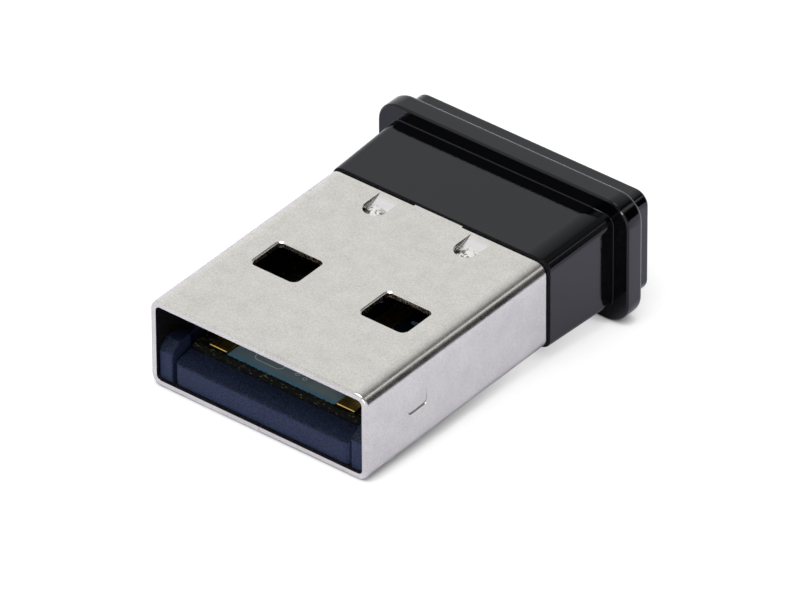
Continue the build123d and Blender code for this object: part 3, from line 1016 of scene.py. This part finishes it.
@dataclass
class BoardParts:
    """The parts soldered on the board, which the housing hides."""

    terminal_share: float = 0.25
    colours: dict[ChipKind, tuple[Colour, Colour]] = field(default_factory=lambda: {
        ChipKind.CAPACITOR: ((0.40, 0.27, 0.15), (0.52, 0.37, 0.22)),
        ChipKind.RESISTOR: ((0.02, 0.02, 0.022), (0.05, 0.05, 0.055)),
        ChipKind.INDUCTOR: ((0.70, 0.72, 0.74), (0.82, 0.83, 0.85)),
        ChipKind.BEAD: ((0.05, 0.05, 0.055), (0.10, 0.10, 0.105)),
    })

    def build(self) -> None:
        """Dresses the radio, the crystal, the antenna and the two-terminal parts."""
        finishes = {"radio_chip": RADIO_PACKAGE, "crystal": CRYSTAL_CAN, "antenna_trace": ANTENNA_COPPER}
        for node, finish in finishes.items():
            dress(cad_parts[node], finish.material())
            LOG.info("board: %s", node)
        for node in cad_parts:
            for kind in ChipKind:
                if node.startswith(kind.value):
                    self.dress_chip(node, kind)

    def dress_chip(self, node: str, kind: ChipKind) -> None:
        """Gives a two-terminal part its ceramic and its tinned ends.

        Args:
            node: The part's node.
            kind: Its kind.
        """
        low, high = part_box(node)
        middle_x = (low.x + high.x) / 2
        end_from = (high.x - low.x) / 2 * (1 - 2 * self.terminal_share)
        finish = EndedChip(f"{node}_ceramic", middle_x, end_from, *self.colours[kind])
        dress(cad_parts[node], finish.material())
        LOG.info("board: %s", node)


@dataclass
class Head:
    """The head: neck, flange and end boss in one glossy moulding."""

    neck_length: float = 4.45 * MM
    neck_flare: float = 0.13 * MM
    flange_thickness: float = 1.04 * MM
    boss_depth: float = 1.16 * MM
    flange_overhang: Range = (0.815 * MM, 0.74 * MM)
    root_round: float = 0.05 * MM
    rim_round: float = 0.11 * MM
    rim_chamfer: float = 0.08 * MM
    round_steps: int = 4
    shaded_round_width: float = 0.14 * MM
    shaded_round_limit: float = -0.1
    edge: float = 0.05 * MM
    near: float = 0.02 * MM

    def build(self) -> None:
        """Makes and dresses the housing, with a small round where its neck meets its flange."""
        low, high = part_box("head_housing")
        flange_rear = high.y - self.boss_depth
        flange_front = flange_rear - self.flange_thickness
        neck_front = flange_front - self.neck_length
        neck_x = high.x - self.flange_overhang[0]
        neck_low_z = low.z + self.flange_overhang[1]
        neck_high_z = high.z - self.flange_overhang[1]
        near = self.near

        def at_root(point: Vector) -> bool:
            """Tells whether a point lies where the neck meets the flange."""
            inside = abs(point.x) < neck_x + near and neck_low_z - near < point.z < neck_high_z + near
            return inside and abs(point.y - flange_front) < near

        def at_rear_rim(point: Vector) -> bool:
            """Tells whether a point lies where the flange's outer faces end, towards the rear."""
            outside = abs(point.x) > neck_x or not neck_low_z < point.z < neck_high_z
            return outside and abs(point.y - (flange_rear - self.rim_chamfer)) < near

        def at_front(centre: Vector, normal: Vector) -> bool:
            """Tells whether a face belongs to the neck's front round, beside the shell."""
            return neck_front - near < centre.y < neck_front + self.shaded_round_width and normal.y < self.shaded_round_limit

        housing = merged_copy("head_housing", "glossy_housing")
        round_edges(housing, at_root, self.root_round, self.round_steps)
        round_edges(housing, at_rear_rim, self.rim_round, self.round_steps)
        finish_copy(housing, "head_housing", self.edge)
        dress(housing, PolishedPlastic(neck_x, (neck_front, flange_front), self.neck_flare).material())
        # The neck's front round gets the dull plastic: painted shade for the gap beside the shell.
        paint_faces(housing, ShadedRoundPlastic().material(), at_front)
        LOG.info("head: %s", housing.name)


@dataclass(frozen=True)
class Glow:
    """A round light in the surroundings, soft at its rim."""

    towards: Colour
    radius: float
    rim: float
    level: float


@dataclass
class Studio:
    """The white floor under the adapter and the studio round it, as its light and its reflections show.

    A band of the surroundings is an arc across the adapter, from its left over its top to its right.
    Its levels are what the shell's top, its bends and its sides mirror towards the camera.
    """

    floor_size: float = 6.0
    mouth_lift: float = 1.0 * MM
    mouth_y: float = -9.55 * MM
    flange_y: float = 7.44 * MM
    floor_gap: float = 0.004 * MM
    floor_colour: Colour = (0.87, 0.86, 0.97)
    seen_colour: Colour = (0.42, 0.42, 0.42)
    floor_glow: Colour = (0.65, 0.65, 0.65)
    contact_reach: float = 0.8 * MM
    contact_open: Range = (0.1, 0.75)
    contact_samples: int = 8
    arc_y: float = 0.633
    arc_width: Range = (0.17, 0.30)
    arc_foot_z: Range = (-0.3, -0.2)
    arc_levels: tuple[Range, ...] = (
        (-62.0, 1.05), (-41.0, 0.97), (-20.0, 0.84), (-2.0, 0.71), (7.0, 0.59), (15.0, 0.44),
        (22.0, 0.26), (29.0, 0.08), (35.0, 0.02), (40.0, 1.12), (46.0, 1.12), (53.0, 0.08),
        (59.0, 0.02), (74.0, 0.01), (108.0, 0.01), (117.0, 0.62),
    )
    sky_z: Range = (0.25, 0.60)
    sky_levels: Range = (0.95, 0.30)
    panel_angle: Range = (-36.0, -14.0)
    panel_y: Range = (-0.85, -0.65)
    panel_level: float = 0.97
    lamps: tuple[Glow, ...] = (
        Glow(towards=(0.05, -0.34, 0.94), radius=17.0, rim=5.0, level=6.2),
        Glow(towards=(0.49, -0.77, 0.41), radius=5.0, rim=2.0, level=12.0),
    )

    def build(self) -> None:
        """Sets up the floor and its surroundings."""
        self.floor()
        self.surroundings()

    def floor(self) -> None:
        """Adds the floor, tilted so that the mouth's lower edge and the flange's rest on it, with a painted
        contact shadow in its glow.
        """
        slope = math.atan2(-self.mouth_lift, self.flange_y - self.mouth_y)
        bpy.ops.mesh.primitive_plane_add(size=self.floor_size)
        floor = bpy.context.active_object
        floor.name = "floor"
        turn = Matrix.Rotation(slope, 4, "X")
        floor.data.transform(Matrix.Translation((0, self.flange_y, -self.floor_gap)) @ turn)
        sheet = NodeSheet("floor_white")
        seen = sheet.add("ShaderNodeLightPath").outputs["Is Camera Ray"]
        # Ambient occlusion dims the glow near the adapter: a painted contact shadow.
        open_sky = sheet.add("ShaderNodeAmbientOcclusion", samples=self.contact_samples)
        open_sky.inputs["Distance"].default_value = self.contact_reach
        shade = sheet.span(open_sky.outputs["AO"], *self.contact_open, 0.0, 1.0)
        glow = sheet.add("ShaderNodeEmission")
        sheet.join(self.floor_glow, glow.inputs["Color"])
        sheet.join(sheet.product(seen, shade), glow.inputs["Strength"])
        matt = sheet.add("ShaderNodeBsdfDiffuse")
        sheet.join(sheet.mix(seen, self.floor_colour, self.seen_colour), matt.inputs["Color"])
        both = sheet.add("ShaderNodeAddShader")
        sheet.join(matt.outputs["BSDF"], both.inputs[0])
        sheet.join(glow.outputs["Emission"], both.inputs[1])
        sheet.join(both.outputs["Shader"], sheet.tree.nodes["Material Output"].inputs["Surface"])
        dress(floor, sheet.material)
        LOG.info("studio: %s", floor.name)

    def surroundings(self) -> None:
        """Lights the scene from all round: a pale horizon, a left panel, the arc and two lamps."""
        sky = SkySheet("studio_surroundings")
        x, y, z = sky.axes()
        angle = sky.product(sky.math("ARCTAN2", x, z), math.degrees(1.0))
        level = sky.span(z, *self.sky_z, *self.sky_levels)
        panel = sky.product(
            sky.span(angle, *self.panel_angle, 1.0, 0.0),
            sky.span(y, *self.panel_y, 0.0, 1.0),
        )
        level = sky.blend(panel, level, self.panel_level)
        offset = sky.math("ABSOLUTE", sky.math("SUBTRACT", y, self.arc_y))
        band = sky.product(
            sky.span(offset, *self.arc_width, 1.0, 0.0),
            sky.span(z, *self.arc_foot_z, 0.0, 1.0),
        )
        level = sky.blend(band, level, sky.levels(angle, self.arc_levels))
        for lamp in self.lamps:
            level = sky.math("ADD", level, self.glow(sky, lamp))
        seen = sky.add("ShaderNodeLightPath").outputs["Is Camera Ray"]
        sky.set(Strength=sky.blend(seen, level, 1.0))
        LOG.info("studio: surroundings")

    def glow(self, sky: SkySheet, lamp: Glow) -> Socket:
        """Works out a round light's level.

        Args:
            sky: The surroundings' node sheet.
            lamp: The light.

        Returns:
            Its level, 0 outside its rim.
        """
        nearness = sky.add("ShaderNodeVectorMath", operation="DOT_PRODUCT")
        nearness.inputs[1].default_value = Vector(lamp.towards).normalized()
        sky.join(sky.place, nearness.inputs[0])
        full, none = (math.cos(math.radians(lamp.radius + side)) for side in (-lamp.rim, lamp.rim))
        return sky.span(nearness.outputs["Value"], none, full, 0.0, lamp.level)


@dataclass
class Viewpoint:
    """The photograph's camera: a long lens, from the front right and above."""

    azimuth: float = 38.752
    elevation: float = 35.681
    roll: float = -0.332
    distance: float = 567.305 * MM
    lens_mm: float = 559.23
    sensor_mm: float = 36.0
    clip: Range = (0.01, 20.0)
    aim: Colour = (-13.244 * MM, 16.689 * MM, -12.671 * MM)

    def build(self) -> None:
        """Adds the camera and makes it the scene's."""
        across, above, roll = (math.radians(angle) for angle in (self.azimuth, self.elevation, self.roll))
        ahead = math.cos(above)
        back = Vector((math.sin(across) * ahead, -math.cos(across) * ahead, math.sin(above)))
        right = Vector((0, 0, 1)).cross(back).normalized()
        up = back.cross(right)
        turned_right = right * math.cos(roll) + up * math.sin(roll)
        turned_up = up * math.cos(roll) - right * math.sin(roll)
        data = bpy.data.cameras.new("photograph_camera")
        data.lens = self.lens_mm
        data.sensor_width = self.sensor_mm
        data.clip_start, data.clip_end = self.clip
        camera = bpy.data.objects.new("photograph_camera", data)
        bpy.context.scene.collection.objects.link(camera)
        turn = Matrix((turned_right, turned_up, back)).transposed().to_4x4()
        camera.matrix_world = Matrix.Translation(Vector(self.aim) + back * self.distance) @ turn
        bpy.context.scene.camera = camera
        LOG.info("camera: %.1f mm lens at %.3f m", self.lens_mm, self.distance)


def main() -> None:
    """Builds the plug, the board's parts, the head, the studio and the camera."""
    logging.basicConfig(level=logging.INFO, format="%(name)s: %(message)s")
    bpy.context.scene.view_settings.view_transform = "Standard"
    for part in (Plug(), BoardParts(), Head(), Studio(), Viewpoint()):
        part.build()


if __name__ == "__main__":
    main()
